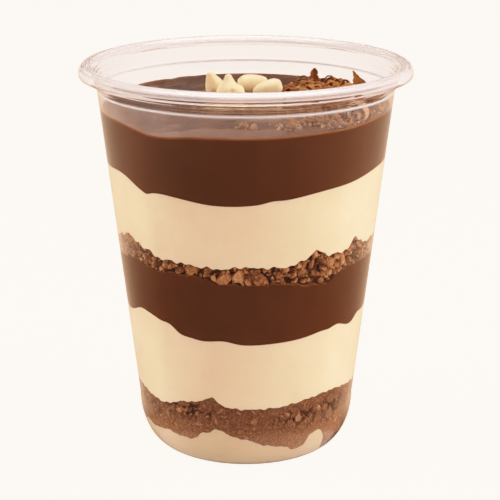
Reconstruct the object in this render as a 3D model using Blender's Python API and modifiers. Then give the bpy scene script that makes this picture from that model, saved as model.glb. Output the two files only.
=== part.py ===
"""Clear dessert cup of layered magnolia pudding, with white chocolate drops and chocolate shavings on top.

Metres, +Z up, the front of the cup towards -Y. The origin is at the centre of the ring that the cup stands on.
Every azimuth is in degrees: 0 at +X, 90 at +Y, so the front of the cup is at -90.
"""

import math
import random

import bmesh
import bpy
from mathutils import Matrix, Vector

MM = 0.001

# The cup
CUP_HEIGHT = 117.0 * MM
RIM_RADIUS = 49.0 * MM
WALL = 0.6 * MM
WALL_FOOT_RADIUS = 29.9 * MM  # where the straight inner wall would meet the base plane
WALL_FLARE = 0.1204  # growth of the inner radius for each metre of height
CORNER_HEIGHT = 16.0 * MM  # where the rounded foot ends and the straight wall starts
CORNER_POWER = 2.1
CORNER_STEPS = 5
STAND_RADIUS = 22.0 * MM  # outer edge of the flat ring that the cup stands on
DOME_RADIUS = 17.6 * MM
DOME_FOOT_RADIUS = 19.2 * MM
DOME_RISE = 1.5 * MM
LEDGE_LOW = 109.6 * MM
LEDGE_HIGH = 111.0 * MM
LEDGE_STEP = 0.45 * MM
ROLL_RADIUS = 2.35 * MM  # of the rim's rolled edge
SKIRT_DROP = 0.9 * MM
CUP_SEGMENTS = 48

# The filling
GAP = 0.3 * MM  # kept between touching pieces
FILL_SEGMENTS = 84
CORE_RING = 0.55  # share of the radius at the inner ring of a hidden interface
CRUMB_RELIEF = 0.55 * MM

# Where two layers meet at the wall: a level in mm, then (azimuth, half width, rise in mm) of each rise or dip
SURFACE_EDGE = (104.8, (-95, 45, -1.5), (-127, 13, -1.7), (90, 50, 0.6), (170, 18, -0.5))
TOP_CHOCOLATE_FOOT = (88.8, (-98, 42, -5.3), (-136, 7, -1.4), (0, 30, 1.2),
                      (62, 18, -2.2), (115, 22, 1.2), (158, 12, -1.4))
UPPER_CREAM_FOOT = (67.0, (-100, 32, -2.3), (-60, 6, 2.8), (-151, 5, 3.2), (-34, 5, 2.2),
                    (18, 10, -1.8), (55, 12, 2.4), (95, 20, -1.8), (130, 8, 2.4), (168, 9, 1.2))
UPPER_CRUMB_FOOT = (61.7, (-88, 20, -2.0), (-58, 13, -3.2), (30, 12, -1.5), (80, 25, -1.2), (140, 15, -2.2))
LOWER_CHOCOLATE_FOOT = (45.5, (-92, 32, -4.2), (-113, 8, -1.3), (-143, 12, 2.0), (-60, 20, -1.0), (-33, 7, -1.9),
                        (35, 16, -2.4), (75, 14, 1.6), (120, 22, -3.0), (165, 10, -0.8))
LOWER_CREAM_FOOT = (21.6, (-143, 14, -2.0), (-108, 6, 2.4), (-118, 8, 0.6), (-88, 14, -0.8), (-42, 18, 1.4),
                    (15, 10, -1.4), (50, 15, 1.8), (100, 18, -1.8), (150, 10, 1.2))
LOWER_CRUMB_FOOT = (9.6, (-105, 8, 4.2), (-63, 18, -2.0), (-49, 4, 3.4), (-22, 17, -7.0),
                    (20, 14, 2.0), (60, 20, -2.4), (105, 16, 2.6), (150, 14, -1.6))
THINNEST_FOOT = 2.8 * MM  # the crumb's lowest point above the base plane

# The toppings. A drop: base radius, height, plumpness from bell to egg, tilt and heading in degrees, place in mm
DROP_STEPS = 12
DROPS = {
    "white_drop_1": (2.9, 6.2, 0.3, 38, 185, (-10.2, 19.5)),
    "white_drop_2": (4.0, 7.2, 0.1, 3, 120, (-5.2, 11.2)),
    "white_drop_3": (2.6, 6.0, 0.7, 66, 250, (-3.2, 3.4)),
    "white_drop_4": (3.0, 9.2, 0.8, 82, 8, (2.2, 18.4)),
    "white_drop_5": (2.7, 9.0, 0.9, 104, 192, (6.4, 8.6)),
}
HEAP_CENTRE = (26.0 * MM, 8.5 * MM)
HEAP_REACH = (13.0 * MM, 24.0 * MM)
HEAP_TURN = 16.0  # degrees that the mound's length is turned from the Y axis
HEAP_HEIGHT = 1.7 * MM
HEAP_SEGMENTS = 28
WALL_CLEARANCE = 1.2 * MM  # between the shavings and the cup
CURL_COUNT = 32
CURL_STEPS = 5
CURL_THICKNESS = 0.65 * MM
CURL_SINK = 0.6 * MM  # depth of a curl's lowest point in the mound
CURL_SEED = 7
# A flake that stands: its place, base radius, tip radius and height in mm, and its heading
SPIKES = ((20.4, 20.5, 1.7, 0.9, 5.2, 25), (33.6, 14.5, 2.4, 0.3, 5.2, 180))

# Colours as linear red, green, blue and alpha
CLEAR = (0.90, 0.88, 0.87, 0.25)
CHOCOLATE = (0.085, 0.026, 0.010, 1.0)
CREAM = (0.78, 0.60, 0.36, 1.0)
UPPER_CRUMB_BROWN = (0.26, 0.12, 0.055, 1.0)
LOWER_CRUMB_BROWN = (0.23, 0.105, 0.06, 1.0)
WHITE_CHOCOLATE = (0.90, 0.78, 0.54, 1.0)
SHAVING_BROWN = (0.30, 0.125, 0.04, 1.0)


def clear_scene():
    for obj in list(bpy.data.objects):
        bpy.data.objects.remove(obj)


def new_collection(name, helper=False):
    collection = bpy.data.collections.new(name)
    bpy.context.scene.collection.children.link(collection)
    collection.hide_render = helper
    return collection


def material(name, colour, roughness):
    made = bpy.data.materials.new(name)
    made.use_nodes = True
    shader = made.node_tree.nodes["Principled BSDF"]
    shader.inputs["Base Color"].default_value = colour
    shader.inputs["Roughness"].default_value = roughness
    shader.inputs["Alpha"].default_value = colour[3]
    return made


def object_from(bm, name, collection, finish=None, smooth=True):
    mesh = bpy.data.meshes.new(name)
    bm.to_mesh(mesh)
    bm.free()
    if smooth:
        mesh.shade_smooth()
        mesh.set_sharp_from_angle(angle=math.radians(50))
    obj = bpy.data.objects.new(name, mesh)
    collection.objects.link(obj)
    if finish:
        mesh.materials.append(finish)
    return obj


# The cup's inner surface, which the filling follows


def wall_radius(z):
    """Inner radius of the cup at a height, from the stand ring up to the ledge."""
    if z >= CORNER_HEIGHT:
        return WALL_FOOT_RADIUS + WALL_FLARE * z
    top_radius = WALL_FOOT_RADIUS + WALL_FLARE * CORNER_HEIGHT
    depth = min(1.0, (CORNER_HEIGHT - z) / (CORNER_HEIGHT - WALL))
    return STAND_RADIUS + (top_radius - STAND_RADIUS) * (1 - depth**CORNER_POWER) ** (1 / CORNER_POWER)


def corner_profile():
    """The rounded foot from the stand ring up to the straight wall, as (radius, height)."""
    heights = [WALL + (CORNER_HEIGHT - WALL) * (step / CORNER_STEPS) ** 2 for step in range(CORNER_STEPS + 1)]
    return [(wall_radius(height), height) for height in heights]


def cup_profile():
    """The inner surface from the rim's skirt down to the centre of the base, as (radius, height)."""
    points = [(0, WALL + DOME_RISE), (DOME_RADIUS, WALL + DOME_RISE), (DOME_FOOT_RADIUS, WALL), *corner_profile()]
    points.append((wall_radius(LEDGE_LOW), LEDGE_LOW))
    points.append((wall_radius(LEDGE_HIGH) + LEDGE_STEP, LEDGE_HIGH))
    roll_centre = (RIM_RADIUS - ROLL_RADIUS, CUP_HEIGHT - ROLL_RADIUS)
    roll_steps = 6
    for step in range(roll_steps + 1):
        turn = math.pi * (1 - step / roll_steps)
        points.append((roll_centre[0] + ROLL_RADIUS * math.cos(turn), roll_centre[1] + ROLL_RADIUS * math.sin(turn)))
    points.append((RIM_RADIUS - 0.1 * MM, roll_centre[1] - SKIRT_DROP))
    return points[::-1]


def make_cup(collection):
    bm = bmesh.new()
    verts = [bm.verts.new((radius, 0, height)) for radius, height in cup_profile()]
    for high, low in zip(verts, verts[1:]):
        bm.edges.new((high, low))
    cup = object_from(bm, "cup", collection, material("clear_plastic", CLEAR, 0.06), smooth=False)
    turn = cup.modifiers.new("turn", "SCREW")
    turn.axis = "Z"
    turn.steps = turn.render_steps = CUP_SEGMENTS
    turn.use_merge_vertices = True
    turn.merge_threshold = 0.00001
    turn.use_smooth_shade = True
    wall = cup.modifiers.new("wall", "SOLIDIFY")
    wall.thickness = WALL
    wall.offset = 1.0
    wall.use_even_offset = True
    return cup


# The filling: each layer lies between two uneven interfaces


def edge_height(levels, azimuth):
    """Height of an interface where it meets the wall."""
    height = levels[0]
    for centre, half_width, rise in levels[1:]:
        away = (azimuth - centre + 180) % 360 - 180
        height += rise * math.exp(-((away / half_width) ** 2))
    return height * MM


def ragged(azimuth, size, seed):
    """Uneven outline left by crumbs: the same number for the same azimuth."""
    turns = [(7, 0.9), (13, 2.1), (23, 4.0), (31, 0.4), (41, 5.2)]
    waves = sum(math.sin(math.radians(azimuth * count) + phase * seed) for count, phase in turns)
    return size * waves / len(turns)


def interface(levels, middle, crumb=0.0, seed=1.0):
    """Height of an interface anywhere: uneven at the wall, calmer towards its middle height in mm."""

    def height(azimuth, share):
        edge = edge_height(levels, azimuth) + ragged(azimuth, crumb, seed)
        return max(THINNEST_FOOT, middle * MM + (edge - middle * MM) * share**1.5)

    return height


def pudding_surface(azimuth, share):
    """The open top of the pudding: smooth, with the soft folds that a spoon leaves."""
    x = share * math.cos(math.radians(azimuth))
    y = share * math.sin(math.radians(azimuth))
    fold = math.sin(5.0 * x - 3.2 * y + 1.3) + 0.6 * math.sin(8.5 * y + 3.0 * x)
    middle = 104.1 * MM + 0.35 * MM * fold
    edge = edge_height(SURFACE_EDGE, azimuth)
    return middle + (edge - middle) * share**4


def filled_radius(z):
    """Radius that the filling reaches at a height: inside the wall, and every flat of the foot, by the gap."""
    if z >= CORNER_HEIGHT:
        return wall_radius(z) - GAP
    profile = corner_profile()
    reaches = []
    for (low_radius, low), (high_radius, high) in zip(profile, profile[1:]):
        slope = (high_radius - low_radius) / (high - low)
        reaches.append(low_radius + slope * (z - low) - GAP * math.hypot(1, slope))
    return min(reaches)


def around(azimuth, radius, z):
    return Vector((radius * math.cos(math.radians(azimuth)), radius * math.sin(math.radians(azimuth)), z))


def warped_sphere(name, segments, parallels, collection, finish):
    """A UV sphere whose parallels are moved, each to what its function returns for an azimuth."""
    bm = bmesh.new()
    bmesh.ops.create_uvsphere(bm, u_segments=segments, v_segments=len(parallels) + 1, radius=1.0)
    for vert in bm.verts:
        ring = round(math.acos(max(-1.0, min(1.0, -vert.co.z))) / math.pi * (len(parallels) + 1))
        if 0 < ring <= len(parallels):
            vert.co = parallels[ring - 1](math.degrees(math.atan2(vert.co.y, vert.co.x)))
        else:
            opposite = [parallels[min(ring, len(parallels)) - 1 if ring else 0](turn) for turn in (0, 180)]
            vert.co = (opposite[0] + opposite[1]) / 2
    return object_from(bm, name, collection, finish)


def layer_rings(floor, roof, shares_and_rises, relief=0.0, seed=""):
    """Parallels of a layer between two interfaces: each at a share of the radius and a share of the height."""
    grain = random.Random(seed)

    def ring(share, rise):
        rough = relief if 0 < rise < 1 else 0.0
        bumps = [rough * grain.random() for _ in range(FILL_SEGMENTS)]

        def point(azimuth):
            low = floor(azimuth, share) + GAP / 2
            high = roof(azimuth, share) - GAP / 2
            z = low + (high - low) * rise
            bump = bumps[round(azimuth / 360 * FILL_SEGMENTS) % FILL_SEGMENTS]
            return around(azimuth, filled_radius(z) * share - bump, z)

        return point

    return [ring(share, rise) for share, rise in shares_and_rises]


def make_layer(name, floor, roof, rows, collection, finish, top_rings=(1.0, CORE_RING), relief=0.0):
    """A layer from floor to roof that follows the cup's wall, in rows up its side."""
    side = [(1.0, row / rows) for row in range(rows)]
    shares_and_rises = [(CORE_RING, 0.0), *side, *((ring, 1.0) for ring in top_rings)]
    rings = layer_rings(floor, roof, shares_and_rises, relief, name)
    return warped_sphere(name, FILL_SEGMENTS, rings, collection, finish)


def make_bottom_layer(name, roof, collection, finish):
    """The lowest layer, which fills the base and the rounded foot of the cup."""
    floor = WALL + GAP
    rings = [
        lambda azimuth: around(azimuth, DOME_RADIUS + GAP, floor + DOME_RISE),
        lambda azimuth: around(azimuth, DOME_FOOT_RADIUS + GAP, floor),
        lambda azimuth: around(azimuth, filled_radius(floor), floor),
    ]
    side = [(1.0, 0.16), (1.0, 0.42), (1.0, 0.72), (1.0, 1.0), (CORE_RING, 1.0)]
    rings += layer_rings(lambda azimuth, share: floor - GAP / 2, roof, side)
    return warped_sphere(name, FILL_SEGMENTS, rings, collection, finish)


def make_filling(collection):
    chocolate = material("chocolate_pudding", CHOCOLATE, 0.35)
    cream = material("vanilla_pudding", CREAM, 0.45)
    upper_brown = material("upper_crumb_brown", UPPER_CRUMB_BROWN, 0.85)
    lower_brown = material("lower_crumb_brown", LOWER_CRUMB_BROWN, 0.9)
    top_foot = interface(TOP_CHOCOLATE_FOOT, 87.0)
    upper_cream_foot = interface(UPPER_CREAM_FOOT, 66.5, 0.7 * MM, 1.0)
    upper_crumb_foot = interface(UPPER_CRUMB_FOOT, 61.0, 0.35 * MM, 2.0)
    lower_chocolate_foot = interface(LOWER_CHOCOLATE_FOOT, 44.5)
    lower_cream_foot = interface(LOWER_CREAM_FOOT, 21.5, 0.4 * MM, 3.0)
    lower_crumb_foot = interface(LOWER_CRUMB_FOOT, 9.5, 0.3 * MM, 4.0)
    surface_rings = (1.0, 0.9, 0.72, 0.52, 0.3)
    make_bottom_layer("bottom_cream", lower_crumb_foot, collection, cream)
    make_layer("lower_crumb", lower_crumb_foot, lower_cream_foot, 4, collection, lower_brown, relief=CRUMB_RELIEF)
    make_layer("lower_cream", lower_cream_foot, lower_chocolate_foot, 2, collection, cream)
    make_layer("lower_chocolate", lower_chocolate_foot, upper_crumb_foot, 2, collection, chocolate)
    make_layer("upper_crumb", upper_crumb_foot, upper_cream_foot, 3, collection, upper_brown, relief=CRUMB_RELIEF)
    make_layer("upper_cream", upper_cream_foot, top_foot, 2, collection, cream)
    make_layer("top_chocolate", top_foot, pudding_surface, 2, collection, chocolate, surface_rings)


# The toppings


def surface_at(x, y):
    """Height of the pudding's open top at a place."""
    share = math.hypot(x, y) / filled_radius(SURFACE_EDGE[0] * MM)
    return pudding_surface(math.degrees(math.atan2(y, x)), min(1.0, share))


def drop_profile(radius, height, plumpness):
    """A white chocolate drop: a round foot, a shoulder and a nub, as (radius, height) from the top down."""
    heights = (1, 0.96, 0.85, 0.66, 0.42, 0.2, 0.03, 0)
    bell = (0, 0.19, 0.27, 0.45, 0.8, 1, 0.88, 0)
    egg = (0, 0.34, 0.6, 0.86, 1, 0.94, 0.6, 0)
    across = [slim + (full - slim) * plumpness for slim, full in zip(bell, egg)]
    return [(radius * reach, height * (up - 0.5)) for reach, up in zip(across, heights)]


def make_drop(name, profile, tilt, heading, place, collection, finish):
    """A turned drop, tipped by tilt towards heading and lowered until it rests on the pudding."""
    bm = bmesh.new()
    verts = [bm.verts.new((across, 0, up)) for across, up in profile]
    for high, low in zip(verts, verts[1:]):
        bm.edges.new((high, low))
    drop = object_from(bm, name, collection, finish, smooth=False)
    turn = drop.modifiers.new("turn", "SCREW")
    turn.axis = "Z"
    turn.steps = turn.render_steps = DROP_STEPS
    turn.use_merge_vertices = True
    turn.merge_threshold = 0.00001
    turn.use_smooth_shade = True
    aim = Matrix.Rotation(math.radians(heading), 4, "Z") @ Matrix.Rotation(math.radians(tilt), 4, "Y")
    clearances = []
    for across, up in profile:
        for turned in range(DROP_STEPS):
            angle = math.tau * turned / DROP_STEPS
            point = aim @ Vector((across * math.cos(angle), across * math.sin(angle), up))
            clearances.append(point.z - surface_at(place[0] + point.x, place[1] + point.y))
    drop.location = (place[0], place[1], GAP - min(clearances))
    drop.rotation_euler = aim.to_euler()
    return drop


def make_drops(collection):
    finish = material("white_chocolate", WHITE_CHOCOLATE, 0.4)
    for name, (radius, height, plumpness, tilt, heading, place) in DROPS.items():
        profile = drop_profile(radius * MM, height * MM, plumpness)
        spot = (place[0] * MM, place[1] * MM)
        make_drop(name, profile, tilt, heading, spot, collection, finish)


def heap_outline(azimuth):
    """Reach of the shavings' mound from its centre, kept inside the cup."""
    turn = math.radians(azimuth)
    wobble = 1 + 0.08 * math.sin(3 * turn + 0.6) + 0.06 * math.sin(5 * turn)
    level = turn - math.radians(HEAP_TURN)
    reach = wobble / math.hypot(math.cos(level) / HEAP_REACH[0], math.sin(level) / HEAP_REACH[1])
    limit = filled_radius(SURFACE_EDGE[0] * MM) - WALL_CLEARANCE
    while math.hypot(HEAP_CENTRE[0] + reach * math.cos(turn), HEAP_CENTRE[1] + reach * math.sin(turn)) > limit:
        reach -= 0.25 * MM
    return reach


def heap_point(azimuth, share):
    turn = math.radians(azimuth)
    reach = heap_outline(azimuth) * share
    return HEAP_CENTRE[0] + reach * math.cos(turn), HEAP_CENTRE[1] + reach * math.sin(turn)


def heap_top(azimuth, share):
    """Height of the mound over the pudding."""
    lumps = 0.5 * math.sin(math.radians(azimuth * 4) + 9 * share) + 0.5 * math.sin(math.radians(azimuth * 7))
    return HEAP_HEIGHT * (1 - share**2) * (0.85 + 0.15 * lumps) + 0.5 * MM


def make_curl(index, chance, collection):
    """One shaving: a thin strip rolled round its width, standing or lying in the mound."""
    width = chance.uniform(1.5, 2.6) * MM
    radius = chance.uniform(1.5, 2.3) * MM
    arc = math.radians(chance.uniform(180, 290))
    bm = bmesh.new()
    bmesh.ops.create_grid(bm, x_segments=CURL_STEPS, y_segments=1, size=0.5)
    for vert in bm.verts:
        turn = vert.co.x * arc
        taper = 1 - 0.8 * abs(vert.co.x)
        vert.co = (radius * math.sin(turn), vert.co.y * width * taper, radius * math.cos(turn))
    bm.normal_update()
    bmesh.ops.solidify(bm, geom=bm.faces[:], thickness=CURL_THICKNESS)
    bmesh.ops.recalc_face_normals(bm, faces=bm.faces[:])
    azimuth = index * 137.5
    share = 0.92 * math.sqrt((index + 0.5) / CURL_COUNT)
    x, y = heap_point(azimuth, share)
    spin = Matrix.Rotation(chance.uniform(0, math.tau), 4, "Z")
    lean = Matrix.Rotation(chance.uniform(-1.2, 1.2), 4, "X")
    bmesh.ops.transform(bm, matrix=spin @ lean, verts=bm.verts[:])
    clear = max(surface_at(x + vert.co.x, y + vert.co.y) + GAP - vert.co.z for vert in bm.verts)
    sunk = surface_at(x, y) + heap_top(azimuth, share) - CURL_SINK - min(vert.co.z for vert in bm.verts)
    bmesh.ops.translate(bm, vec=(x, y, max(clear, sunk)), verts=bm.verts[:])
    return object_from(bm, f"curl_{index}", collection)


def make_spike(x, y, base, tip, height, heading, collection):
    """A pointed flake that stands in the mound."""
    bm = bmesh.new()
    bmesh.ops.create_cone(bm, cap_ends=True, segments=6, radius1=base, radius2=tip, depth=height)
    squash = Matrix.Diagonal((1.0, 0.42, 1.0, 1.0))
    lean = Matrix.Rotation(math.radians(10), 4, "Y")
    turned = Matrix.Rotation(math.radians(heading), 4, "Z") @ lean @ squash
    bmesh.ops.transform(bm, matrix=turned, verts=bm.verts[:])
    lowest = min(vert.co.z for vert in bm.verts)
    bmesh.ops.translate(bm, vec=(x, y, surface_at(x, y) + 0.8 * MM - lowest), verts=bm.verts[:])
    return object_from(bm, "spike", collection)


def make_heap(collection):
    """The mound of shavings: a low core with curls joined on."""
    finish = material("milk_chocolate_shavings", SHAVING_BROWN, 0.8)

    def ring(share, rise):
        def point(azimuth):
            x, y = heap_point(azimuth, share)
            return Vector((x, y, surface_at(x, y) + GAP + rise * heap_top(azimuth, share)))

        return point

    rings = [ring(*sizes) for sizes in ((0.6, 0.0), (1.0, 0.0), (1.0, 1.0), (0.75, 1.0), (0.4, 1.0))]
    core = warped_sphere("shavings", HEAP_SEGMENTS, rings, collection, finish)
    loose = new_collection("loose_curls", helper=True)
    chance = random.Random(CURL_SEED)
    curls = [make_curl(index, chance, loose) for index in range(CURL_COUNT)]
    curls += [make_spike(*(size * MM for size in sizes), heading, loose) for *sizes, heading in SPIKES]
    join = core.modifiers.new("join", "BOOLEAN")
    join.operation = "UNION"
    join.operand_type = "COLLECTION"
    join.collection = loose
    join.solver = "MANIFOLD"
    bpy.context.view_layer.update()
    joined = bpy.data.meshes.new_from_object(core.evaluated_get(bpy.context.evaluated_depsgraph_get()))
    core.modifiers.remove(join)
    core.data = joined
    for curl in curls:
        bpy.data.objects.remove(curl)
    bpy.data.collections.remove(loose)


def main():
    clear_scene()
    dessert = new_collection("magnolia_pudding_cup")
    make_cup(dessert)
    make_filling(dessert)
    make_drops(dessert)
    make_heap(dessert)


main()
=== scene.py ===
"""Looks of a clear cup of layered magnolia pudding, with white chocolate drops and chocolate shavings on top.

Metres, +Z up, the front of the cup towards -Y. Azimuths are in degrees: 0 at +X, 90 at +Y, -90 at the front.
"""

import math

import bmesh
import bpy
import numpy as np
from mathutils import Matrix, Vector, noise


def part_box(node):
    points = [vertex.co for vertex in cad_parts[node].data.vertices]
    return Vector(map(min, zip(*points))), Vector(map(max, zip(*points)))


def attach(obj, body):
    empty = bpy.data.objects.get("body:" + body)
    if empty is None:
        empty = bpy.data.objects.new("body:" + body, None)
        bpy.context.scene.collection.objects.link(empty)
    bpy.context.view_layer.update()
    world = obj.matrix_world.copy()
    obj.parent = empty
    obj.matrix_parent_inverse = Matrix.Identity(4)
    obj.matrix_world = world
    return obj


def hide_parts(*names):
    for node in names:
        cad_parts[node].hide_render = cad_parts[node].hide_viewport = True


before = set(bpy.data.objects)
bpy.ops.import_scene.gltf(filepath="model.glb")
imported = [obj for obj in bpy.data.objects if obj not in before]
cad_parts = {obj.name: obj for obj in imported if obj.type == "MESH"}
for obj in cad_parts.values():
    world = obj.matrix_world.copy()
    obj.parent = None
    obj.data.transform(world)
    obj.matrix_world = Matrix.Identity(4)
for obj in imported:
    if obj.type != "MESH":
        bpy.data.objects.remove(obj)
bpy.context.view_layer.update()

MM = 0.001

# The cup, whose height and rim are those of the frame
CUP_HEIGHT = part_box("cup")[1].z
RIM_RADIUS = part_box("cup")[1].x
WALL = 0.6 * MM
WALL_FOOT_RADIUS = 29.9 * MM  # where the straight inner wall would meet the base plane
WALL_FLARE = 0.1204  # growth of the inner radius for each metre of height
CORNER_HEIGHT = 16.0 * MM
CORNER_POWER = 2.1
STAND_RADIUS = 22.0 * MM
DOME_RADIUS = 17.6 * MM
DOME_FOOT_RADIUS = 19.2 * MM
DOME_RISE = 1.5 * MM
LEDGE_LOW = 109.6 * MM
LEDGE_HIGH = 111.0 * MM
LEDGE_STEP = 0.45 * MM
ROLL_RADIUS = 2.35 * MM
SKIRT_DROP = 0.9 * MM
RIM_RIDGE = 0.07 * MM
RIM_RIDGES = 2.5
LIP_DROP = 0.18 * MM
# Painted highlights inside the plastic, partly its own milkiness: stripes round the rim's roll, a line along
# the ledge
RIM_HIGHLIGHT_STRIPES = 4.5
RIM_MILK_AND_HIGHLIGHT = 0.62
LEDGE_MILK_AND_HIGHLIGHT = 0.8
LEDGE_HIGHLIGHT_REACH = 0.34 * MM
HIGHLIGHT_BAND_THICKNESS = 0.12 * MM
CUP_SEGMENTS = 240
CREASE = 60  # degrees past which an edge is sharp

# The filling
FILL_SEGMENTS = 480
SIDE_ROWS = 14
OUTWARD = (0.25, 0.55, 0.8, 0.95)  # shares of the radius at which an interface has rings
PRESS = 0.04 * MM  # depth that the pudding reaches into the wall, so that no air shows between them
CRUMB_PRESS = 0.10 * MM  # depth that a crumb held against the wall reaches into it
THINNEST_FOOT = 2.8 * MM
SURFACE_MIDDLE = 104.1 * MM
FOLD_DEPTH = 0.35 * MM
MENISCUS_RISE = 0.3 * MM
MENISCUS_WIDTH = 0.35 * MM
SURFACE_ROLL = 0.9 * MM  # height of the thin edge that light comes through
EDGE_RINGS = ((0.6, 0.35), (0.3, 0.75), (0.0, 1.0))  # in that edge: mm under the open top, and painted glow
OPEN_RINGS = (0.1, 0.25, 0.45, 0.7, 1.0, 1.5, 2.2, *np.linspace(3.2, 41.0, 54))  # mm in from the wall
FOOT_SHADE_TOP, FOOT_SHADE_FADE = 2.6 * MM, 0.8 * MM  # height of the painted shade line at the foot of the cup, and how it fades

# Painted light on a fold at the front of the open top: where it begins along Y, how far on it fades, then
# along X its middle and half its length, in mm
LIT_FOLD_BACK, LIT_FOLD_FADE, LIT_FOLD_MIDDLE, LIT_FOLD_REACH = -31.0, 9.0, -12, 24

# Where layers meet at the wall: a level in mm, then (azimuth, half width, rise in mm) for each rise or dip.
# A fourth number over 2 gives it a flatter top and steeper sides.
SURFACE_EDGE = (
    104.6,
    (-95, 45, -1.4), (-127, 13, -1.6), (-158, 12, -0.2), (-48, 10, -0.3), (-20, 20, 0.3), (90, 50, 0.6),
    (170, 18, -0.5),
)
TOP_CHOCOLATE_FOOT = (
    88.8,
    (-98, 42, -5.3), (-136, 7, -1.4), (-151, 9, 0.9), (-134, 2.5, -0.5), (-116, 9, 0.3), (-79, 4, 0.5),
    (-44, 12, -0.5), (-26, 7, 0.1), (0, 30, 1.2), (62, 18, -2.2), (115, 22, 1.2), (158, 12, -1.4),
)
UPPER_CREAM_FOOT = (
    67.0,
    (-100, 32, -2.3), (-58, 4.8, 2.8), (-151, 5, 3.6), (-34, 5, 2.2), (-160, 4, 1.9), (-143, 3.5, 1.4),
    (-137, 3, 0.9), (-129, 4.5, -0.5), (-92, 4, 0.7), (-73, 7, -0.9), (-56, 6, -0.6), (-41, 3, -0.1),
    (-35.5, 2.2, 1.3), (-12, 8, 0.5), (18, 10, -1.8), (55, 12, 2.4), (95, 20, -1.8), (130, 8, 2.4),
    (168, 9, 1.2),
)
UPPER_CRUMB_FOOT = (
    61.7,
    (-150, 9, 1.3), (-88, 20, -2.0), (-58, 13, -3.2), (-132, 4, -0.4), (-112, 4, 0.6), (-102, 4, -0.5),
    (-50, 3.5, -1.3), (30, 12, -1.5), (80, 25, -1.2), (140, 15, -2.2),
)
LOWER_CHOCOLATE_FOOT = (
    45.5,
    (-92, 32, -4.2), (-122, 5, -0.8), (-113, 7, -0.7), (-143, 12, 2.0), (-60, 18, -1.5), (-33, 7, -2.3),
    (-163, 6, -0.6), (-149, 5, 0.6), (-128, 4, 0.9), (-100, 6, 0.8), (-47, 4, -0.6), (-28, 4.5, -0.9),
    (-17, 5, -0.9), (35, 16, -2.4), (75, 14, 1.6), (120, 22, -3.0), (165, 10, -0.8),
)
LOWER_CREAM_FOOT = (
    21.6,
    (-143, 14, -2.0), (-108, 5, 2.5), (-118, 8, 0.4), (-88, 14, -0.8), (-42, 18, 1.4), (-135, 7, -0.7),
    (-72, 8, -0.4), (15, 10, -1.4), (50, 15, 1.8), (100, 18, -1.8), (150, 10, 1.2),
)
LOWER_CRUMB_FOOT = (
    9.6,
    (-105, 8, 4.2), (-63, 18, -2.0), (-61, 5.5, -1.3, 4), (-48, 6.8, 2.4, 8), (-24, 18.5, -7.6, 6),
    (-158, 3, 0.9), (-137, 6, 0.8), (-114, 3, 1.4), (-91, 7, 1.5), (20, 14, 2.0), (60, 20, -2.4),
    (105, 16, 2.6), (150, 14, -1.6),
)

# The toppings. A drop: base radius, height, plumpness from bell to egg, tilt and heading in degrees, and
# place in mm
DROPS = {
    "white_drop_1": (3.1, 6.6, 0.42, 24, 190, (-10.0, 19.2)),
    "white_drop_2": (4.0, 7.2, 0.1, 3, 120, (-5.2, 11.2)),
    "white_drop_3": (2.6, 6.0, 0.7, 66, 250, (-3.2, 3.4)),
    "white_drop_4": (3.0, 9.2, 0.8, 82, 8, (2.2, 18.4)),
    "white_drop_5": (2.7, 9.0, 0.9, 104, 192, (6.4, 8.6)),
}
HEAP_CENTRE = (26.0 * MM, 8.5 * MM)
HEAP_REACH = (13.0 * MM, 24.0 * MM)
HEAP_TURN = 16.0
HEAP_HEIGHT = 1.7 * MM
HEAP_SPREAD = 0.96  # share of the mound that curls and flakes lie on
CURL_GRID = (14, 4)  # cells along the roll of a curl, and across its width
FLAKE_GRID = (6, 4)
CURL_WIDTH, FLAKE_WIDTH = (0.9 * MM, 2.0 * MM), (0.6 * MM, 1.8 * MM)
CURL_THICKNESS, FLAKE_THICKNESS = (0.34 * MM, 0.52 * MM), (0.25 * MM, 0.5 * MM)
CURL_SORTS = ((130, 0.6, 1.2, 0.7), (80, 0.9, 1.5, 0.6))  # count, then radius and how far sunk in mm
HEAP_FLAKES, NEAR_FLAKES = 70, 30
NEAR_PLACE, NEAR_SPREAD = (33.5 * MM, -21.5 * MM), (5.0, 1.6)  # of the flakes in front of the heap


# Shader maths


class Value:
    """A number that changes over a surface. Arithmetic on it adds Math nodes."""

    def __init__(self, finish, socket):
        self.finish = finish
        self.socket = socket

    def _maths(self, operation, *numbers):
        node = self.finish.node("ShaderNodeMath", {"operation": operation}, dict(enumerate(numbers)))
        return Value(self.finish, node.outputs[0])

    def __add__(self, other):
        return self._maths("ADD", self, other)

    def __radd__(self, other):
        return self._maths("ADD", other, self)

    def __sub__(self, other):
        return self._maths("SUBTRACT", self, other)

    def __rsub__(self, other):
        return self._maths("SUBTRACT", other, self)

    def __mul__(self, other):
        return self._maths("MULTIPLY", self, other)

    def __rmul__(self, other):
        return self._maths("MULTIPLY", other, self)

    def __pow__(self, other):
        return self._maths("POWER", self, other)

    def held(self):
        """The number, kept between 0 and 1."""
        node = self.finish.node("ShaderNodeClamp", {}, {0: self})
        return Value(self.finish, node.outputs[0])


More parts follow.
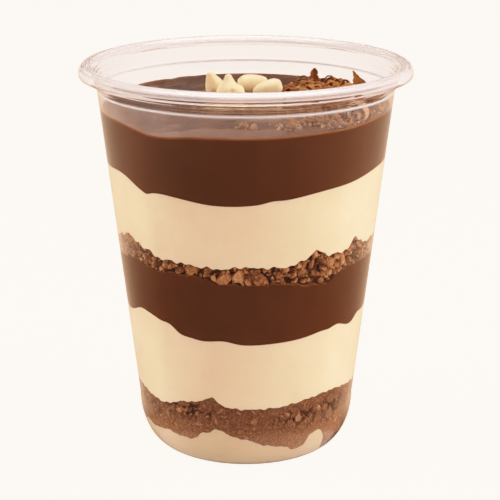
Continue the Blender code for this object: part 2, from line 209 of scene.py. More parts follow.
class Finish:
    """A procedural material, built node by node."""

    def __init__(self, name):
        self.material = bpy.data.materials.new(name)
        self.material.use_nodes = True
        self.tree = self.material.node_tree
        self.tree.nodes.clear()

    def node(self, kind, settings=None, sockets=None):
        """A node of that type: its settings first, then a number, colour or link for each socket named."""
        made = self.tree.nodes.new(kind)
        for name, setting in (settings or {}).items():
            if name == "stops":
                ramp = made.color_ramp.elements
                while len(ramp) < len(setting):
                    ramp.new(0.5)
                for stop, (place, colour) in zip(ramp, setting):
                    stop.position = place
                    stop.color = colour
            else:
                setattr(made, name, setting)
        for name, value in (sockets or {}).items():
            if isinstance(value, Value):
                value = value.socket
            if isinstance(value, bpy.types.NodeSocket):
                self.tree.links.new(value, made.inputs[name])
            else:
                made.inputs[name].default_value = value
        return made

    def place(self):
        """Where a point of the surface is, in metres."""
        return self.node("ShaderNodeTexCoord").outputs["Object"]

    def mottle(self, size, detail=3.0, roughness=0.55, warp=0.0):
        """Soft noise from 0 to 1 whose spots are about that size in metres."""
        sockets = {"Vector": self.place(), "Scale": 0.6 / size, "Detail": detail, "Roughness": roughness}
        node = self.node("ShaderNodeTexNoise", {}, {**sockets, "Distortion": warp})
        return Value(self, node.outputs["Fac"])

    def cells(self, size):
        """Distance from the middle of the nearest of many cells of that size, from 0 to about 1."""
        node = self.node("ShaderNodeTexVoronoi", {}, {"Vector": self.place(), "Scale": 1.0 / size})
        return Value(self, node.outputs["Distance"])

    def own(self, name):
        """A number that the mesh holds for each of its corners."""
        node = self.node("ShaderNodeAttribute", {"attribute_name": name})
        return Value(self, node.outputs["Fac"])

    def shades(self, value, *stops):
        """A colour for a number from 0 to 1, run smoothly through the stops."""
        colours = [(at, display(*rgb)) for at, rgb in stops]
        return self.node("ShaderNodeValToRGB", {"stops": colours}, {0: value}).outputs["Color"]

    def mixed(self, share, first, second):
        """One colour turning into another as share goes from 0 to 1."""
        node = self.node("ShaderNodeMix", {"data_type": "RGBA"}, {0: share, 6: first, 7: second})
        return node.outputs[2]

    def relief(self, height, depth, strength):
        """Normals bent by a height from 0 to 1 that stands for that depth in metres."""
        node = self.node("ShaderNodeBump", {}, {"Height": height, "Distance": depth, "Strength": strength})
        return node.outputs["Normal"]

    def principled(self, sockets):
        return self.node("ShaderNodeBsdfPrincipled", {}, sockets).outputs[0]

    def either(self, share, first, second):
        """One shader turning into another as share goes from 0 to 1."""
        return self.node("ShaderNodeMixShader", {}, {0: share, 1: first, 2: second}).outputs[0]

    def finished(self, shader):
        self.node("ShaderNodeOutputMaterial", {}, {"Surface": shader})
        return self.material

    def coated(self, sockets):
        """The material, finished with one principled shader."""
        return self.finished(self.principled(sockets))


class Surroundings(Finish):
    """The studio round the cup, built node by node like a finish."""

    def __init__(self, name):
        self.world = bpy.data.worlds.new(name)
        self.world.use_nodes = True
        self.tree = self.world.node_tree
        self.tree.nodes.clear()

    def background(self, colour, strength):
        return self.node("ShaderNodeBackground", {}, {"Color": colour, "Strength": strength}).outputs[0]


def display(red, green, blue):
    """Linear colour, with alpha, of display values from 0 to 255."""
    shares = [value / 255 for value in (red, green, blue)]
    return [s / 12.92 if s <= 0.04045 else ((s + 0.055) / 1.055) ** 2.4 for s in shares] + [1.0]


# Finishes


def clear_plastic():
    """Thin clear plastic that lets the lamps through."""
    finish = Finish("clear_plastic")
    faint_flow = finish.mottle(14 * MM, detail=1.0)
    glass = finish.principled({"Base Color": display(243, 234, 233), "Roughness": 0.02, "IOR": 1.38,
                               "Transmission Weight": 1.0,
                               "Normal": finish.relief(faint_flow, 0.25 * MM, 0.35)})
    clear = finish.node("ShaderNodeBsdfTransparent", {}, {"Color": display(250, 245, 244)}).outputs[0]
    lamp_ray = finish.node("ShaderNodeLightPath").outputs["Is Shadow Ray"]
    return finish.finished(finish.either(lamp_ray, glass, clear))


def milky_plastic_and_highlight():
    """Whitish plastic where it is thick or tightly bent: partly its own milkiness, partly a painted
    highlight.
    """
    finish = Finish("milky_plastic_and_highlight")
    streaks = 0.8 + 0.4 * finish.mottle(8 * MM, 3.0)
    return finish.coated({"Base Color": display(212, 203, 202), "Roughness": 0.4, "Specular IOR Level": 0.3,
                          "Alpha": (finish.own("milk") * streaks).held()})


def wall_haze_and_reflection():
    """A faint pale film on the wall over the pudding: partly the plastic's haze, partly a painted reflection.
    """
    finish = Finish("wall_haze_and_reflection")
    cloud = finish.mottle(6 * MM, detail=4.0, warp=0.6)
    thickness = (0.02 + 0.06 * cloud) * finish.own("mist")
    tone = finish.shades(cloud, (0.3, (226, 208, 200)), (0.7, (240, 226, 220)))
    return finish.coated({"Base Color": tone, "Roughness": 0.9, "Alpha": thickness})


def with_painted_edge_glow(finish, tone, thin):
    """A tone that turns into a painted lit one where the pudding's edge is thin."""
    return finish.mixed((finish.own("edge") ** 1.5).held(), tone, display(*thin))


def chocolate_side():
    """Pudding pressed on the wall: even, dark, with painted light in the thin edge at its top."""
    finish = Finish("chocolate_against_wall")
    tone = finish.shades(finish.mottle(5 * MM, 4.0), (0.3, (59, 27, 10)), (0.7, (66, 31, 12)))
    return finish.coated({"Base Color": with_painted_edge_glow(finish, tone, (142, 86, 54)), "Roughness": 0.55,
                          "Specular IOR Level": 0.1, "Sheen Weight": 0.58, "Sheen Roughness": 0.5,
                          "Sheen Tint": display(250, 160, 100)})


def chocolate_surface():
    """Open top of the pudding, rippled, with painted reflection streaks and painted light at its front."""
    finish = Finish("chocolate_surface")
    ripples = finish.mottle(4 * MM, 2.0, warp=0.4)
    tone_and_highlight_streaks = finish.mottle(11 * MM, 1.0, warp=1.2)
    # Darker and paler by a large noise: the palest stop is painted reflection along folds
    tone = finish.shades(tone_and_highlight_streaks, (0.36, (46, 24, 12)), (0.56, (64, 35, 19)), (0.7, (92, 58, 40)))
    # Painted light on a fold at the front
    tone = finish.mixed((0.95 * finish.own("shelf")).held(), tone, display(108, 76, 60))
    return finish.coated({"Base Color": with_painted_edge_glow(finish, tone, (128, 74, 45)),
                          "Roughness": 0.20 + 0.10 * ripples, "Specular IOR Level": 0.05,
                          "Normal": finish.relief(ripples, 0.10 * MM, 0.5)})


def vanilla_cream(name, shaded, lit):
    """Pale cream, with a painted shade line at its foot."""
    finish = Finish(name)
    cloud = finish.mottle(9 * MM, 3.0, warp=0.5)
    bubbles = finish.mottle(0.9 * MM, 2.0)
    tone = finish.shades(0.75 * cloud + 0.25 * bubbles, (0.3, shaded), (0.7, lit))
    shaded_at_foot = finish.mixed(finish.own("foot"), tone, display(150, 112, 70))
    return finish.coated({"Base Color": shaded_at_foot, "Roughness": 0.5, "Specular IOR Level": 0.25,
                          "Subsurface Weight": 0.25, "Subsurface Radius": (1.0, 0.72, 0.42),
                          "Subsurface Scale": 2.0 * MM, "Sheen Weight": 0.48, "Sheen Roughness": 0.5,
                          "Sheen Tint": display(246, 240, 255)})


def biscuit_crumb(name, deep, dark, middle, light, grain):
    """Gritty baked crumb, its grain in mm. Each has its own shade, and painted shade where it lies deep."""
    finish = Finish(name)
    grain = grain * MM
    grit = finish.mottle(grain, 5.0, 0.7)
    pores = finish.cells(2.2 * grain)
    shade = 0.55 * grit + 0.22 * finish.own("shade") + 0.22 * pores
    tone = finish.shades(shade, (0.28, dark), (0.5, middle), (0.72, light))
    # Painted shade: the deep colour where a crumb lies sunk
    shaded = finish.mixed(finish.own("sunk"), tone, display(*deep))
    skin = finish.relief(0.6 * grit + 0.4 * pores, 0.25 * MM, 0.8)
    return finish.coated({"Base Color": shaded, "Roughness": 0.88, "Specular IOR Level": 0.2,
                          "Normal": skin})


def white_chocolate():
    finish = Finish("white_chocolate")
    cloud = finish.mottle(2.5 * MM, 3.0)
    tone = finish.shades(cloud, (0.3, (233, 191, 138)), (0.7, (244, 211, 164)))
    dents = finish.relief(finish.mottle(1.6 * MM, 2.0), 0.15 * MM, 0.5)
    return finish.coated({"Base Color": tone, "Roughness": 0.45, "Specular IOR Level": 0.4,
                          "Subsurface Weight": 0.10, "Subsurface Radius": (1.0, 0.75, 0.4),
                          "Subsurface Scale": 1.5 * MM, "Normal": dents})


def studio_floor():
    """A pale table that glows a little, so that it stays even. Glossy things mirror the studio through it."""
    finish = Finish("pale_floor")
    path = finish.node("ShaderNodeLightPath")
    lights_things = Value(finish, path.outputs["Is Diffuse Ray"])
    mirrored = Value(finish, path.outputs["Glossy Depth"]).held()
    glow = STUDIO_GLOW - FLOOR_TONE
    pale = finish.principled({"Base Color": (FLOOR_TONE, FLOOR_TONE, FLOOR_TONE, 1.0), "Roughness": 1.0,
                              "Specular IOR Level": 0.0, "Emission Color": STUDIO_PALE,
                              "Emission Strength": glow - (glow - FLOOR_GLOW) * lights_things})
    clear = finish.node("ShaderNodeBsdfTransparent").outputs[0]
    return finish.finished(finish.either(mirrored, pale, clear))


# Mesh building

WAVE_COUNT = 14


def add_piece(mesh, finishes, replaced=()):
    """Puts a mesh in the scene as a piece of the cup."""
    piece = bpy.data.objects.new(mesh.name, mesh)
    bpy.context.scene.collection.objects.link(piece)
    for finish in finishes:
        mesh.materials.append(finish)
    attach(piece, "root")
    if replaced:
        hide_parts(*replaced)


def mesh_from(name, points, faces, crease=None):
    """A smooth-shaded mesh from an array of corners and lists of faces, sharp past crease degrees."""
    mesh = bpy.data.meshes.new(name)
    mesh.from_pydata(points.reshape(-1, 3).tolist(), [], faces)
    mesh.shade_smooth()
    if crease is not None:
        mesh.set_sharp_from_angle(angle=math.radians(crease))
    return mesh


def lofted(name, rings, crease=None):
    """A closed mesh through rings of equal count, from its lowest middle out, up and in to its top middle."""
    rows, count = rings.shape[:2]
    index = np.arange(rows * count).reshape(rows, count)
    low, high = index[:-1], index[1:]
    quads = np.stack([low, np.roll(low, -1, 1), np.roll(high, -1, 1), high], -1).reshape(-1, 4)
    first, last = rows * count, rows * count + 1
    points = np.vstack([rings.reshape(-1, 3), rings[0].mean(0), rings[-1].mean(0)])
    faces = quads.tolist()
    for i in range(count):
        j = (i + 1) % count
        faces.append([first, index[0, j], index[0, i]])
        faces.append([last, index[-1, i], index[-1, j]])
    return mesh_from(name, points, faces, crease)


def keep_numbers(mesh, name, numbers):
    """Stores a number for each corner of a mesh."""
    kept = mesh.attributes.new(name, "FLOAT", "POINT")
    kept.data.foreach_set("value", np.asarray(numbers, np.float32))


def around(azimuth, radius, z):
    """Points at azimuths, as an array."""
    turn = np.radians(azimuth)
    return np.stack([radius * np.cos(turn), radius * np.sin(turn), z + 0 * turn], -1)


def evenly(count):
    """That many azimuths, evenly round from 0."""
    return np.arange(count) * 360 / count


def lathed(outline, count):
    """Rings of count points, one for each (radius, z) of an outline."""
    return np.stack([around(evenly(count), radius, z) for radius, z in outline])


def turned(points, degrees):
    """Points turned round the Z axis."""
    return points @ np.array(Matrix.Rotation(math.radians(degrees), 3, "Z")).T


def waves(points, size, seed):
    """Smooth unevenness at each point, about -1 to 1, whose bumps are about that size."""
    chance = np.random.default_rng(seed)
    ways = chance.normal(size=(WAVE_COUNT, 3))
    ways *= (math.pi / size * chance.uniform(0.7, 1.5, WAVE_COUNT) / np.linalg.norm(ways, axis=1))[:, None]
    phases = chance.uniform(0, math.tau, WAVE_COUNT)
    return np.sin(points @ ways.T + phases).sum(-1) / math.sqrt(WAVE_COUNT)


# The cup


def wall_radius(z):
    """Inner radius of the cup at heights from the stand ring up to the ledge."""
    z = np.asarray(z, float)
    top_radius = WALL_FOOT_RADIUS + WALL_FLARE * CORNER_HEIGHT
    depth = np.clip((CORNER_HEIGHT - z) / (CORNER_HEIGHT - WALL), 0, 1)
    corner = STAND_RADIUS + (top_radius - STAND_RADIUS) * (1 - depth**CORNER_POWER) ** (1 / CORNER_POWER)
    return np.where(z >= CORNER_HEIGHT, WALL_FOOT_RADIUS + WALL_FLARE * z, corner)


def eased(steps):
    """Shares from 0 to 1 that start and end slowly."""
    share = np.linspace(0, 1, steps + 1)
    return share * share * (3 - 2 * share)


def cup_profile():
    """The cup's upper and inner side from the middle of the base out, up and over to the rim's skirt."""
    points = [(radius, WALL + DOME_RISE) for radius in np.linspace(2 * MM, DOME_RADIUS - 0.4 * MM, 6)]
    points += [(DOME_RADIUS + share * (DOME_FOOT_RADIUS - DOME_RADIUS), WALL + DOME_RISE * (1 - rise))
               for share, rise in zip(np.linspace(0, 1, 9), eased(8))]
    points.append(((DOME_FOOT_RADIUS + STAND_RADIUS) / 2, WALL))
    corner_top = CORNER_HEIGHT - WALL
    points += [(float(wall_radius(z)), z) for z in WALL + corner_top * np.linspace(0, 1, 26) ** 2]
    points += [(float(wall_radius(z)), z) for z in np.linspace(CORNER_HEIGHT, LEDGE_LOW, 12)[1:]]
    for rise, step in zip(np.linspace(0, 1, 9)[1:], eased(8)[1:]):
        z = LEDGE_LOW + rise * (LEDGE_HIGH - LEDGE_LOW)
        points.append((float(wall_radius(z)) + LEDGE_STEP * step, z))
    centre = (RIM_RADIUS - ROLL_RADIUS, CUP_HEIGHT - ROLL_RADIUS)
    foot, top = points[-1], (centre[0] - ROLL_RADIUS, centre[1])
    for share in np.linspace(0, 1, 30)[1:-1]:
        ridge = RIM_RIDGE * math.sin(math.tau * RIM_RIDGES * share)
        points.append((foot[0] + share * (top[0] - foot[0]) + ridge, foot[1] + share * (top[1] - foot[1])))
    for turn in np.linspace(0, math.pi, 56):
        roll = ROLL_RADIUS - 0.25 * RIM_RIDGE * (1 - math.cos(8 * turn))
        points.append((centre[0] - roll * math.cos(turn), centre[1] + roll * math.sin(turn)))
    points.append((RIM_RADIUS - 0.1 * MM, centre[1] - SKIRT_DROP))
    return np.array(points)


def beneath(section, depth):
    """A line of (radius, z) points moved by that depth to its own right."""
    along = np.gradient(section, axis=0)
    along /= np.linalg.norm(along, axis=1)[:, None]
    return section + depth * np.stack([along[:, 1], -along[:, 0]], -1)


def make_cup():
    upper = cup_profile()
    under = beneath(upper, WALL)
    lip = (upper[-1] + under[-1]) / 2 + (0, -LIP_DROP)
    rings = lathed(np.vstack([under, lip[None], upper[::-1]]), CUP_SEGMENTS)
    add_piece(lofted("clear_cup", rings, CREASE), [clear_plastic()], ["cup"])


def closed_loop(name, rings):
    """A ring-shaped mesh whose rings, in order, go once round its section."""
    rows, count = rings.shape[:2]
    index = np.arange(rows * count).reshape(rows, count)
    above = np.roll(index, -1, 0)
    quads = np.stack([index, np.roll(index, -1, 1), np.roll(above, -1, 1), above], -1).reshape(-1, 4)
    return mesh_from(name, rings, quads.tolist(), CREASE)


def make_milky_highlight_band(name, section, milk, finish):
    """A painted highlight band inside the plastic, partly milky: its section's (radius, z), and its strength
    at each, from 0.
    """
    under = beneath(section, HIGHLIGHT_BAND_THICKNESS)
    mesh = closed_loop(name, lathed(np.vstack([section, under[::-1]]), CUP_SEGMENTS))
    keep_numbers(mesh, "milk", np.repeat(np.append(milk, milk[::-1]), CUP_SEGMENTS))
    add_piece(mesh, [finish])


def make_milky_highlight_bands():
    finish = milky_plastic_and_highlight()
    turn = np.linspace(0.12, math.pi, 42)
    middle, reach = np.array([RIM_RADIUS - ROLL_RADIUS, CUP_HEIGHT - ROLL_RADIUS]), ROLL_RADIUS - 0.3 * WALL
    section = middle + reach * np.stack([-np.cos(turn), np.sin(turn)], -1)
    # Painted highlight stripes round the rim's roll
    highlight_stripes = 0.22 + 0.78 * np.sin(RIM_HIGHLIGHT_STRIPES * turn) ** 2
    make_milky_highlight_band("milky_rim_highlight", section, RIM_MILK_AND_HIGHLIGHT * highlight_stripes, finish)
    # A painted highlight line along the ledge
    away = np.linspace(-0.7, 0.7, 15) * MM
    section = np.stack([wall_radius(LEDGE_LOW + away) + 0.4 * WALL, LEDGE_LOW + away], -1)
    make_milky_highlight_band("milky_ledge_highlight", section, LEDGE_MILK_AND_HIGHLIGHT * np.exp(-((away / LEDGE_HIGHLIGHT_REACH) ** 2)), finish)


# The filling


def edge_height(levels, azimuth):
    """Heights of an interface where it meets the wall."""
    height = np.full(np.shape(azimuth), float(levels[0]))
    for centre, half_width, rise, *square in levels[1:]:
        away = np.abs((np.asarray(azimuth) - centre + 180) % 360 - 180)
        height += rise * np.exp(-((away / half_width) ** (square[0] if square else 2)))
    return height * MM


def interface(levels, middle, uneven=0.0):
    """Height of an interface at azimuths and a share of the radius, easing to its middle height in mm.

    Crumbs make it uneven by about that many mm.
    """

    def height(azimuth, share=1.0):
        turn = np.radians(azimuth)
        bumps = np.sin(37 * turn + 1) + np.sin(61 * turn + 2.4) + 0.8 * np.sin(89 * turn + 4)
        edge = edge_height(levels, azimuth) + uneven * MM * bumps / 2
        return np.maximum(THINNEST_FOOT, middle * MM + (edge - middle * MM) * share**1.5)

    return height


TOP_FOOT = interface(TOP_CHOCOLATE_FOOT, 87.0)
CREAM_FOOT = interface(UPPER_CREAM_FOOT, 66.5, 0.4)
CRUMB_FOOT = interface(UPPER_CRUMB_FOOT, 61.0, 0.25)
LOW_CHOCOLATE_FOOT = interface(LOWER_CHOCOLATE_FOOT, 44.5)
LOW_CREAM_FOOT = interface(LOWER_CREAM_FOOT, 21.5, 0.25)
LOW_CRUMB_FOOT = interface(LOWER_CRUMB_FOOT, 9.5, 0.2)
SURFACE_RADIUS = float(wall_radius(SURFACE_EDGE[0] * MM)) + PRESS
AZIMUTHS = evenly(FILL_SEGMENTS)
# Arcs that a spoon leaves, in mm: what they turn round, their pitch, where they lie, their spread and depth
SPOON_ARCS = (
    ((-40, 42), 6.5, (-20, 23), 12, 0.42),
    ((-8, 48), 4.4, (-2, 31), 7, 0.16),
    ((30, -52), 9.0, (-14, -22), 15, 0.24),
    ((-60, -20), 11.0, (6, -8), 18, 0.12),
)


def pudding_height(x, y):
    """Height of the pudding's open top: folds that a spoon leaves, and a low meniscus at the wall."""
    reach = np.hypot(x, y)
    share = np.minimum(1.0, reach / SURFACE_RADIUS)
    across, along = x / SURFACE_RADIUS, y / SURFACE_RADIUS
    fold = np.sin(5.0 * across - 3.2 * along + 1.3) + 0.6 * np.sin(8.5 * along + 3.0 * across)
    middle = SURFACE_MIDDLE + FOLD_DEPTH * fold
    edge = edge_height(SURFACE_EDGE, np.degrees(np.arctan2(y, x)))
    height = middle + (edge - middle) * share**4
    for hub, pitch, spot, spread, depth in SPOON_ARCS:
        phase = math.tau / pitch * np.hypot(x / MM - hub[0], y / MM - hub[1])
        fade = np.exp(-((x / MM - spot[0]) ** 2 + (y / MM - spot[1]) ** 2) / spread**2)
        height = height + depth * MM * fade * (np.sin(phase) + 0.35 * np.sin(2 * phase + 1))
    return height + MENISCUS_RISE * np.exp(-np.maximum(0, SURFACE_RADIUS - reach) / MENISCUS_WIDTH)


def side_rows(low, high, rises):
    """Rings up the side of a layer: at each share of its height, against the wall."""
    heights = [low + (high - low) * rise for rise in rises]
    return [around(AZIMUTHS, wall_radius(z) + PRESS, z) for z in heights]


def flat_rows(height, shares):
    """Rings across an interface, each at a share of the radius."""
    reach = wall_radius(height(AZIMUTHS)) + PRESS
    return [around(AZIMUTHS, reach * share, height(AZIMUTHS, share)) for share in shares]


def make_layer(name, floor, roof, finish):
    """A layer that fills the cup from one interface to the next."""
    rings = flat_rows(floor, OUTWARD)
    rings += side_rows(floor(AZIMUTHS), roof(AZIMUTHS), np.linspace(0, 1, SIDE_ROWS + 1))
    rings += flat_rows(roof, OUTWARD[::-1])
    add_piece(lofted(f"{name}_layer", np.stack(rings), CREASE), [finish], [name])


def make_bottom_layer(finish):
    """The lowest cream, which fills the rounded foot and lies round the pushed-up base."""
    floor = WALL - PRESS
    rings = [around(AZIMUTHS, radius, WALL + DOME_RISE - PRESS) for radius in (8 * MM, DOME_RADIUS)]
    rings += [around(AZIMUTHS, DOME_FOOT_RADIUS, floor), around(AZIMUTHS, STAND_RADIUS, floor)]
    rings += side_rows(WALL + 0 * AZIMUTHS, LOW_CRUMB_FOOT(AZIMUTHS), np.linspace(0, 1, 23)[1:] ** 1.6)
    rings += flat_rows(LOW_CRUMB_FOOT, OUTWARD[::-1])
    mesh = lofted("bottom_cream_layer", np.stack(rings), CREASE)
    height = np.append(np.stack(rings)[..., 2].ravel(), [1, 1])
    # Painted shade along the foot of the cup
    keep_numbers(mesh, "foot", 0.75 * np.clip((FOOT_SHADE_TOP - height) / FOOT_SHADE_FADE, 0, 1))
    add_piece(mesh, [finish], ["bottom_cream"])


def make_top_layer(side, surface):
    """The chocolate pudding on top. Its open surface has a finish of its own; its edge has painted glow."""
    turn = np.radians(AZIMUTHS)
    high = pudding_height(SURFACE_RADIUS * np.cos(turn), SURFACE_RADIUS * np.sin(turn))
    rings = flat_rows(TOP_FOOT, OUTWARD)
    rings += side_rows(TOP_FOOT(AZIMUTHS), high - SURFACE_ROLL, np.linspace(0, 1, 13))
    edge = [0.0] * len(rings)
    for drop, glow in EDGE_RINGS:
        z = high - drop * MM
        rings.append(around(AZIMUTHS, wall_radius(z) + PRESS, z))
        edge.append(glow)
    side_count = len(rings)
    reach = wall_radius(high) + PRESS
    for step in OPEN_RINGS:
        edge.append(max(0.0, 1 - 0.9 * step))
        radius = (reach - step * MM) if step < 5 else reach * (1 - step * MM / SURFACE_RADIUS)
        x, y = radius * np.cos(turn), radius * np.sin(turn)
        rings.append(np.stack([x, y, pudding_height(x, y)], -1))
    mesh = lofted("top_chocolate_layer", np.stack(rings), CREASE)
    keep_numbers(mesh, "edge", np.append(np.repeat(edge, FILL_SEGMENTS), [0, 0]))
    x, y = np.array([corner.co[:2] for corner in mesh.vertices]).T / MM
    # Painted light on a fold at the front of the open top
    shelf = np.clip(LIT_FOLD_BACK - y, 0, 1) * (1 - 0.5 * np.clip((LIT_FOLD_BACK - 1.5 - y) / LIT_FOLD_FADE, 0, 1))
    keep_numbers(mesh, "shelf", shelf * np.exp(-((x - LIT_FOLD_MIDDLE) / LIT_FOLD_REACH) ** 4))
    add_piece(mesh, [side, surface], ["top_chocolate"])
    first_open = (side_count - 1) * FILL_SEGMENTS
    last_open = (len(rings) - 1) * FILL_SEGMENTS
    for number, face in enumerate(mesh.polygons):
        if first_open <= number < last_open or (number >= last_open and (number - last_open) % 2):
            face.material_index = 1


# Crumbs

CUT_BALL = 0.68  # radius of the ball that a crumb is cut from, as a share of its size
CRACK_WIDTH = 0.3  # share of a lump over which a crack beside it fades
MASS_LAP = 0.3 * MM  # how far a packed mass reaches into the layers over and under it
CRUMB_REACH = 0.36  # least distance of a crumb's middle from the edges of its band, as a share of its size
CRUMB_TRIES = 24
# Kinds of crumb against the wall: name, (least size, most size, count) in mm, closeness, detail, and how far
# back they lie as shares of their size
UPPER_CRUMBS = (
    ("upper_crumb_pieces", ((2.8, 4.6, 150), (1.6, 2.8, 300)), 0.86, 3, (0.42, 0.56)),
    ("upper_crumb_bits", ((0.7, 1.5, 620),), 0.6, 2, (0.4, 0.9)),
)
LOWER_CRUMBS = (
    ("lower_crumb_pieces", ((2.6, 4.2, 26), (1.3, 2.4, 90)), 1.0, 3, (0.42, 0.54)),
    ("lower_crumb_bits", ((0.4, 1.0, 420),), 0.8, 2, (0.35, 0.65)),
)
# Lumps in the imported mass: size in mm, then the share of the depth that their cracks have where it is calm
# and where it is coarse
UPPER_LUMPS = ((2.4, 1.0, 1.0), (1.1, 0.7, 0.7))
LOWER_LUMPS = ((0.8, 0.62, 0.45), (1.5, 0.5, 0.6), (3.3, 0.25, 1.15))


def round_crumb(detail):
    """Corners and triangles of a ball of unit radius, as arrays."""
    bm = bmesh.new()
    bmesh.ops.create_icosphere(bm, subdivisions=detail, radius=1.0)
    corners = np.array([vert.co[:] for vert in bm.verts])
    faces = np.array([[vert.index for vert in face.verts] for face in bm.faces])
    bm.free()
    return corners, faces


def random_turns(chance, count):
    """Rotation matrices that point every way."""
    w, x, y, z = chance.normal(size=(count, 4)).T
    length = np.sqrt(w * w + x * x + y * y + z * z)
    w, x, y, z = w / length, x / length, y / length, z / length
    rows = [[1 - 2 * (y * y + z * z), 2 * (x * y - z * w), 2 * (x * z + y * w)],
            [2 * (x * y + z * w), 1 - 2 * (x * x + z * z), 2 * (y * z - x * w)],
            [2 * (x * z - y * w), 2 * (y * z + x * w), 1 - 2 * (x * x + y * y)]]
    return np.array(rows).transpose(2, 0, 1)


def broken_crumbs(chance, sizes, detail, cuts, slimmest=0.62):
    """Angular crumbs round the origin, one for each size: (crumb, corner, place), and their triangles."""
    ball, faces = round_crumb(detail)
    count = len(sizes)
    points = np.repeat(ball[None], count, 0)
    for _ in range(cuts):
        way = chance.normal(size=(count, 3))
        way /= np.linalg.norm(way, axis=1)[:, None]
        beyond = np.einsum("cvk,ck->cv", points, way) - chance.uniform(0.35, 0.8, count)[:, None]
        points -= np.maximum(beyond, 0)[:, :, None] * way[:, None, :]
    points *= chance.uniform(slimmest, 1.1, size=(count, 1, 3))
    points *= chance.uniform(0.93, 1.07, size=(count, len(ball), 1))
    points = np.einsum("cvk,cjk->cvj", points, random_turns(chance, count))
    return points * CUT_BALL * sizes[:, None, None], faces


def crumb_mesh(name, points, faces, shades, sunk, crease=40):
    """One mesh of many crumbs, with a shade for each and, for each corner, its painted shade from 0 to 1."""
    count, corners = points.shape[:2]
    joined = (faces[None] + (np.arange(count) * corners)[:, None, None]).reshape(-1, faces.shape[1])
    mesh = mesh_from(name, points, joined.tolist(), crease)
    keep_numbers(mesh, "shade", np.repeat(shades, corners))
    keep_numbers(mesh, "sunk", np.clip(sunk, 0, 1).ravel())
    return mesh


def crowded_band(chance, band, sizes, closeness):
    """Where crumbs of falling size crowd the wall between two interfaces: (azimuth, z, size) of each."""
    low, high = band
    kept = np.empty((0, 3))
    places = []
    for size in sizes:
        for _ in range(CRUMB_TRIES):
            azimuth = chance.uniform(-180, 180)
            bottom = float(low(azimuth)) + CRUMB_REACH * size
            top = float(high(azimuth)) - CRUMB_REACH * size
            if top < bottom:
                continue
            z = chance.uniform(bottom, top)
            radius = float(wall_radius(z))
            along = math.radians(azimuth) * radius
            around_gap = np.abs(kept[:, 0] - along)
            around_gap = np.minimum(around_gap, math.tau * radius - around_gap)
            apart = np.hypot(around_gap, kept[:, 1] - z)
            if (apart > closeness * (kept[:, 2] + size) / 2).all():
                kept = np.vstack([kept, (along, z, size)])
                places.append((azimuth, z, size))
                break
    return np.array(places)


def pressed(points, reach=CRUMB_PRESS):
    """Points moved in where they would stand past the wall."""
    radius = np.hypot(points[..., 0], points[..., 1])
    limit = wall_radius(points[..., 2]) + reach
    share = np.minimum(1, limit / np.maximum(radius, 1e-9))
    return points * np.stack([share, share, np.ones_like(share)], -1)


def behind_wall(points):
    """How far points lie behind the wall's inner face."""
    return wall_radius(points[..., 2]) - np.hypot(points[..., 0], points[..., 1])


def painted_side_light(azimuth):
    """Painted side light: how much paler crumbs are left and right than in front, as a step of shade."""
    return 0.6 * np.cos(np.radians(azimuth)) ** 2 - 0.25


def wall_crumbs(chance, band, kind, finish, painted_shade_depth, shades):
    """Crumbs of one kind against the wall in a band, in painted shade that is full at the depth given."""
    name, sizes, closeness, detail, depth = kind
    sizes = np.concatenate([chance.uniform(least, most, count) for least, most, count in sizes]) * MM
    azimuth, z, size = crowded_band(chance, band, sorted(sizes, reverse=True), closeness).T
    points, faces = broken_crumbs(chance, size, detail, 7, 0.5)
    back = chance.uniform(*depth, len(size)) * size
    points += around(azimuth, wall_radius(z) + CRUMB_PRESS - back, z)[:, None, :]
    points = pressed(points)
    # Each crumb's own shade, with painted side light
    shade = chance.uniform(*shades, len(size)) + painted_side_light(azimuth)
    mesh = crumb_mesh(name, points, faces, shade, behind_wall(points) / painted_shade_depth, 26)
    add_piece(mesh, [finish])


def cracks(points, size):
    """1 in the cracks between lumps of that size, falling to 0 within a share of a lump."""
    nearest = [noise.voronoi(point)[0] for point in (points.reshape(-1, 3) / size).tolist()]
    first, second = np.array(nearest)[:, :2].T
    return np.clip(1 - (second - first) / CRACK_WIDTH, 0, 1).reshape(points.shape[:-1])


# Where the lower crumbs are coarse: azimuth, height in mm, half width in degrees, half height in mm
COARSE_SPOTS = (
    (-122, 19, 20, 3.5), (-60, 16, 16, 4.5), (-38, 17, 12, 5.0), (-150, 15, 9, 4.0), (40, 16, 25, 4.0),
)


def coarseness(azimuth, z):
    """How coarse the lower crumbs are at places on the wall, from 0 to 1."""
    most = np.zeros_like(z)
    for spot, height, wide, high in COARSE_SPOTS:
        away = (azimuth - spot + 180) % 360 - 180
        most = np.maximum(most, np.exp(-((away / wide) ** 2) - ((z / MM - height) / high) ** 2))
    return most


